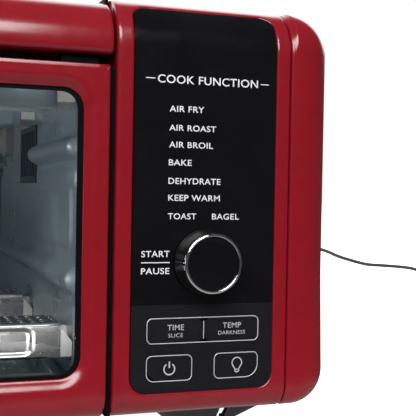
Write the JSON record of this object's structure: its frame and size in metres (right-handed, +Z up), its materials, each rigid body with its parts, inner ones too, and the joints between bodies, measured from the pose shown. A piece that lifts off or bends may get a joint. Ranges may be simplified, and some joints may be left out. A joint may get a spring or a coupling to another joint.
{
  "type": "toaster oven",
  "caption": "Wide, low countertop toaster oven with a drop-down glass door, a full-width handle bar, and a black control panel with a knob and keys, in glossy dark red.",
  "frame": {"origin": "on the resting surface, under the middle of the oven without its mains cord", "axes": "+X to the right and +Z up as seen from the front; the door and panel face -Y"},
  "size_m": [0.9385, 0.4266, 0.194],
  "materials": {
    "red_paint": "glossy dark cherry red enamel",
    "black_gloss": "high gloss black",
    "black_satin": "satin black",
    "silver_trim": "bright plated",
    "plain_steel": "plain stainless sheet",
    "black_steel": "satin black paint",
    "tray_enamel": "grey coated sheet",
    "aluminium": "plain",
    "motor_metal": "grey",
    "brass": "plain",
    "circuit_board": "green solder mask",
    "display_glass": "dark display window",
    "door_glass": "clear toughened glass, slightly grey",
    "lamp_glass": "clear",
    "quartz": "milky quartz with ceramic ends",
    "glass_fibre": "loose fibre blanket",
    "black_rubber": "matte",
    "foot_plastic": "matte black",
    "cord_rubber": "dark grey jacket"
  },
  "bodies": {
    "casing": {"top_cover": "red_paint", "base_pan": "black_steel", "back_panel": "black_steel", "left_end_cap": "red_paint", "right_end_cap": "red_paint", "control_housing": "red_paint", "panel_lens": "black_gloss", "button_panel": "black_satin", "button_trims": "silver_trim", "panel_chassis": "black_satin", "display_module": "display_glass", "control_board": "circuit_board", "encoder_body": "motor_metal", "power_board": "circuit_board", "front_bezel": "black_steel", "left_door_jamb": "black_steel", "right_door_jamb": "black_steel", "cavity_liner": "plain_steel", "bay_divider": "plain_steel", "insulation_blanket": "glass_fibre", "upper_element_front": "quartz", "upper_element_rear": "quartz", "lower_element_front": "quartz", "lower_element_rear": "quartz", "upper_reflectors": "plain_steel", "lower_reflector_front": "plain_steel", "lower_reflector_rear": "plain_steel", "fan_motor": "motor_metal", "fan_grille": "black_steel", "lamp_bulb": "lamp_glass", "lamp_cover": "lamp_glass", "temperature_probe": "plain_steel", "foot_shells": "foot_plastic", "foot_pads": "black_rubber", "wall_bumpers": "black_rubber", "case_screws": "plain_steel", "strain_relief": "black_rubber", "cord_tube": "cord_rubber", "cord_coil": "cord_rubber", "plug": "cord_rubber"},
    "door": {"door_frame": "red_paint", "door_glass": "door_glass", "glass_gasket": "black_rubber", "door_inner_frame": "black_steel", "handle_bar": "red_paint", "handle_posts": "black_satin", "hinge_pins": "plain_steel"},
    "knob_carriage": {"encoder_bushing": "brass"},
    "knob": {"encoder_shaft": "plain_steel", "knob_skirt": "black_satin", "knob_ring": "silver_trim", "knob_face": "black_gloss"},
    "time_key": {"time_button": "black_satin"},
    "temp_key": {"temp_button": "black_satin"},
    "power_key": {"power_button": "black_satin"},
    "light_key": {"light_button": "black_satin"},
    "fan": {"fan_blade": "aluminium", "fan_shaft": "plain_steel"},
    "tray": {"crumb_tray": "tray_enamel"}
  },
  "joints": [
    {"name": "door_hinge", "type": "hinge", "parent": "casing", "child": "door", "pos_m": [0, -0.17, 0.0205], "axis": [1, 0, 0], "range_deg": [0, 90]},
    {"name": "crumb_tray_slide", "type": "slide", "parent": "casing", "child": "tray", "axis": [0, 1, 0], "range_m": [0, 0.3]},
    {"name": "knob_press", "type": "slide", "parent": "casing", "child": "knob_carriage", "axis": [0, 1, 0], "range_m": [0, 0.001], "stiffness_N_per_m": 1500},
    {"name": "knob_turn", "type": "hinge", "parent": "knob_carriage", "child": "knob", "pos_m": [0.187, -0.18, 0.0804], "axis": [0, 1, 0], "continuous": true},
    {"name": "time_press", "type": "slide", "parent": "casing", "child": "time_key", "axis": [0, 1, 0], "range_m": [0, 0.0008], "stiffness_N_per_m": 1200},
    {"name": "temp_press", "type": "slide", "parent": "casing", "child": "temp_key", "axis": [0, 1, 0], "range_m": [0, 0.0008], "stiffness_N_per_m": 1200},
    {"name": "power_press", "type": "slide", "parent": "casing", "child": "power_key", "axis": [0, 1, 0], "range_m": [0, 0.0008], "stiffness_N_per_m": 1200},
    {"name": "light_press", "type": "slide", "parent": "casing", "child": "light_key", "axis": [0, 1, 0], "range_m": [0, 0.0008], "stiffness_N_per_m": 1200},
    {"name": "fan_spin", "type": "hinge", "parent": "casing", "child": "fan", "pos_m": [0.145, -0.006, 0.112], "axis": [1, 0, 0], "continuous": true}
  ]
}
